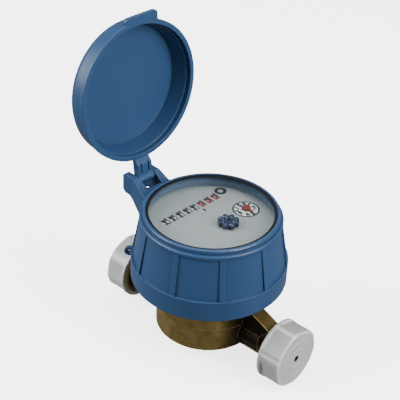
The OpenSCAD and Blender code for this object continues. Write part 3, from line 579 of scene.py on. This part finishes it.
def print_dial():
    """The small dial's face, ring and figures, and two plain marks on the main dial."""
    face = bmesh.new()
    ring(face, SMALL_DIAL, SMALL_FACE_R, FACE_LIFT)
    add_piece("small_dial_face", face, SMALL_WHITE, "head")
    marks = bmesh.new()
    ring(marks, SMALL_DIAL, SMALL_RING_R, FIGURE_LIFT)
    for i in range(10):
        angle = math.pi + FULL_TURN * i / 10
        spot = dial_spot(SMALL_DIAL[0] + SMALL_FIGURE_R * math.cos(angle),
                         SMALL_DIAL[1] + SMALL_FIGURE_R * math.sin(angle))
        figure(marks, str(i), SMALL_FIGURE, spot)
    ring(marks, RING_MARK, RING_MARK_R, MARK_LIFT)
    marks.faces.new([marks.verts.new(on_head(x, y, DIAL_Z + MARK_LIFT)) for x, y in DECIMAL_MARK])
    add_piece("dial_marks", marks, BLACK_INK, "head")


def print_rollers():
    """Ten figures round each number roller, red on the fast ones."""
    for i in range(ROLLERS):
        middle = ROLLER_Y + ROLLER_PITCH * i
        skin = bmesh.new()
        for digit in range(10):
            turn = FULL_TURN * (digit - READING[i]) / 10
            figure(skin, str(digit), ROLLER_FIGURE, roller_spot(middle, turn))
        add_piece("roller_figures_%d" % (i + 1), skin, BLACK_INK if i < BLACK_ROLLERS else RED_INK,
                  "roller_%d" % (i + 1))


def cap_rings(name, body, side):
    """Shallow turned rings on a cap's end."""
    count, profile, sink = 96, 8, 0.03
    made = bmesh.new()
    for radius, width, height in CAP_RINGS:
        rows = []
        for i in range(count):
            a = FULL_TURN * i / count
            row = []
            for k in range(profile + 1):
                t = k / profile
                r = radius + width * (t - 0.5)
                out = CAP_END_X - sink + (height + sink) * math.sin(math.pi * t)
                point = Vector((side * out, r * math.cos(a), PIPE_Z + r * math.sin(a)))
                row.append(made.verts.new(point * MM))
            rows.append(row)
        join_rows(made, rows)
    bmesh.ops.recalc_face_normals(made, faces=made.faces[:])
    add_piece(name, made, MILKY, body)


def star_petals():
    """The raised, rounded top of each lobe of the star wheel."""
    cx, cy = STAR_AXIS
    steps = 10
    made = bmesh.new()
    for lobe in range(STAR_LOBES):
        middle = FULL_TURN * (lobe + 0.5) / STAR_LOBES
        rows = []
        for j in range(steps + 1):
            s = j / steps
            r = PETAL_R[0] + (PETAL_R[1] - PETAL_R[0]) * s
            notch = (r * r + STAR_R * STAR_R - STAR_NOTCH * STAR_NOTCH) / (2 * r * STAR_R)
            half = math.pi / STAR_LOBES - math.acos(min(1.0, notch)) - PETAL_GAP / r
            row = []
            for k in range(steps + 1):
                t = 2 * k / steps - 1
                a = middle + half * t
                rise = PETAL_H * (1 - t ** 4) * (1 - (2 * s - 1) ** 6)
                row.append(made.verts.new(on_head(cx + r * math.cos(a), cy + r * math.sin(a),
                                                  STAR_TOP - PETAL_SINK + rise)))
            rows.append(row)
        join_rows(made, rows, loop=False)
    bmesh.ops.recalc_face_normals(made, faces=made.faces[:])
    add_piece("star_petals", made, STAR, "star")


def hinge_web():
    """Thin web that closes the slot under the hinge barrel, with its small drain hole."""
    x0, x1, y0, y1 = WEB_SPAN
    hx, hy = WEB_HOLE
    count = 48
    angles = {FULL_TURN * i / count for i in range(count)}
    angles |= {math.atan2(y - hy, x - hx) % FULL_TURN for x in (x0, x1) for y in (y0, y1)}
    made = bmesh.new()
    rows = []
    for a in sorted(angles):
        c, s = math.cos(a), math.sin(a)
        to_x = ((x1 if c > 0 else x0) - hx) / c if abs(c) > 1e-9 else math.inf
        to_y = ((y1 if s > 0 else y0) - hy) / s if abs(s) > 1e-9 else math.inf
        far, low = min(to_x, to_y), WEB_Z - WEB_T
        loop = [(WEB_HOLE_R, low), (WEB_HOLE_R, WEB_Z - WEB_HOLE_EDGE), (WEB_HOLE_R + WEB_HOLE_EDGE, WEB_Z),
                (far, WEB_Z), (far, low)]
        rows.append([made.verts.new(on_head(hx + r * c, hy + r * s, z)) for r, z in loop])
    join_rows(made, rows, tube=True, smooth=False)
    bmesh.ops.recalc_face_normals(made, faces=made.faces[:])
    add_piece("hinge_web", made, BLUE, "head")


print_dial()
print_rollers()
star_petals()
hinge_web()
cap_rings("outlet_cap_rings", "outlet_cap", 1)
cap_rings("inlet_cap_rings", "inlet_cap", -1)


# Floor, light and camera

def pale_floor():
    """A plain pale floor that lights itself, so that it stays pale without tinting the meter."""
    f = Finish("pale_floor")
    cloud = f.noise(3.0, 3.0)
    f.set(Base_Color=f.mix(cloud, (0.90, 0.90, 0.90), (0.93, 0.93, 0.93)), Roughness=0.85,
          Emission_Color=(1.0, 1.0, 1.0), Emission_Strength=3.0)
    made = bmesh.new()
    bmesh.ops.create_grid(made, x_segments=1, y_segments=1, size=6.0)
    mesh = bpy.data.meshes.new("floor")
    made.to_mesh(mesh)
    made.free()
    mesh.materials.append(f.material)
    floor = bpy.data.objects.new("floor", mesh)
    floor.location.z = cad_box[0].z - 0.2 * MM
    floor.visible_diffuse = False
    floor.visible_glossy = False
    bpy.context.scene.collection.objects.link(floor)


def soft_light(name, place, target, size, power):
    """A rectangular soft box, with its place and size in metres."""
    data = bpy.data.lights.new(name, "AREA")
    data.shape = "RECTANGLE"
    data.size, data.size_y = size
    data.energy = power
    light = bpy.data.objects.new(name, data)
    light.location = place
    light.rotation_euler = (Vector(target) - Vector(place)).to_track_quat("-Z", "Y").to_euler()
    bpy.context.scene.collection.objects.link(light)


def studio():
    """A white surround and three soft boxes."""
    world = bpy.data.worlds.new("studio")
    world.use_nodes = True
    surround = world.node_tree.nodes["Background"]
    surround.inputs["Color"].default_value = (1.0, 1.0, 1.0, 1.0)
    surround.inputs["Strength"].default_value = 0.34
    bpy.context.scene.world = world
    target = (0.0, 0.0, 0.05)
    soft_light("left_box", (-0.75, -0.75, 0.65), target, (0.7, 0.9), 29.0)
    soft_light("right_box", (0.95, 0.15, 0.60), target, (0.6, 0.9), 25.0)
    soft_light("top_box", (-0.1, 0.2, 1.1), target, (0.9, 0.9), 11.0)


def camera():
    """The photograph's view: front right and above, with a slight roll."""
    back = Vector((math.sin(AZIMUTH) * math.cos(ELEVATION), -math.cos(AZIMUTH) * math.cos(ELEVATION),
                   math.sin(ELEVATION)))
    right = Vector((math.cos(AZIMUTH), math.sin(AZIMUTH), 0.0))
    up = back.cross(right)
    across = math.cos(ROLL) * right + math.sin(ROLL) * up
    upright = math.cos(ROLL) * up - math.sin(ROLL) * right
    data = bpy.data.cameras.new("camera")
    data.lens, data.sensor_width = LENS, SENSOR
    data.clip_start, data.clip_end = 0.01, 50.0
    cam = bpy.data.objects.new("camera", data)
    cam.matrix_world = (Matrix.Translation((Vector(AIM) + back * DISTANCE) * MM)
                        @ Matrix((across, upright, back)).transposed().to_4x4())
    bpy.context.scene.collection.objects.link(cam)
    bpy.context.scene.camera = cam


pale_floor()
studio()
camera()
